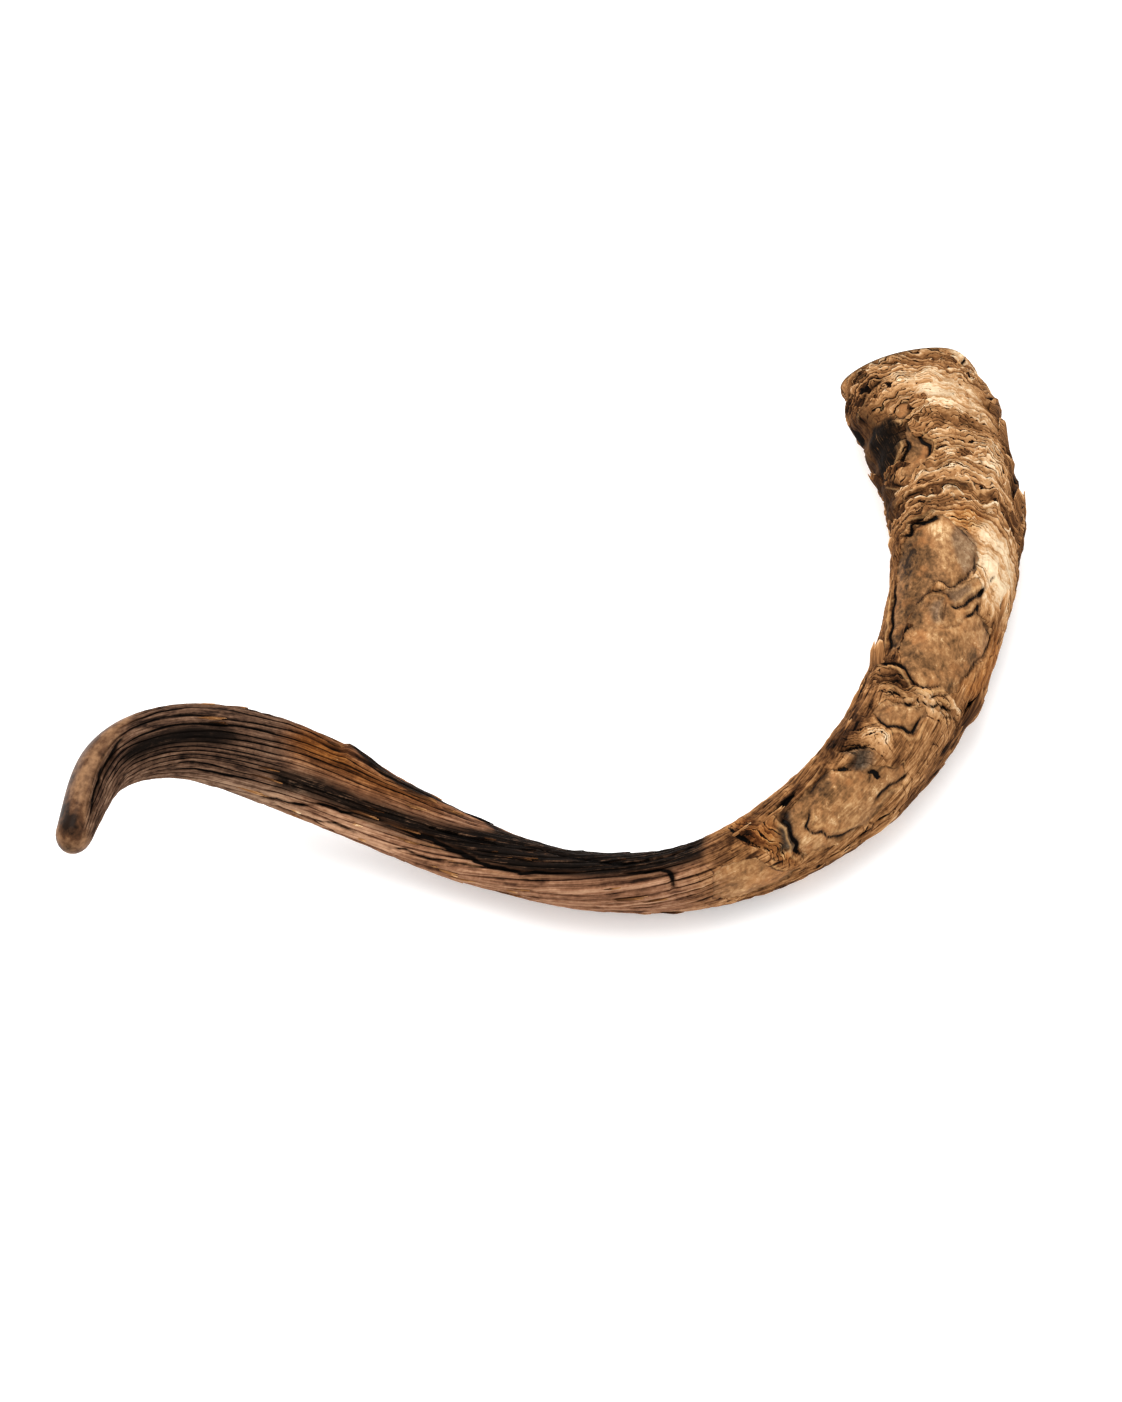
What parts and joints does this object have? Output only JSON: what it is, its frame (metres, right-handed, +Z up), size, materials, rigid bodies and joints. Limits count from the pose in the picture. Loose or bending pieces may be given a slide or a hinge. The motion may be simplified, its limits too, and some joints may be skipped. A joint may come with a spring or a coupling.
{
  "type": "goat horn",
  "caption": "Weathered goat horn in a long open bend, thick and hollow at its sawn base, flaking in layers, with a furrowed twisting arm and a smooth raised tip.",
  "frame": {"origin": "on the surface the horn lies on, under the middle of its outline seen from above", "axes": "+X runs from the tip side to the base side, +Y towards the sawn base, +Z up"},
  "size_m": [0.3716, 0.2728, 0.0855],
  "materials": {
    "keratin": "dry weathered horn: matt flaking layers and dark fibres, satin where it is bare or polished"
  },
  "bodies": {
    "root": {"horn": "keratin"}
  },
  "joints": []
}
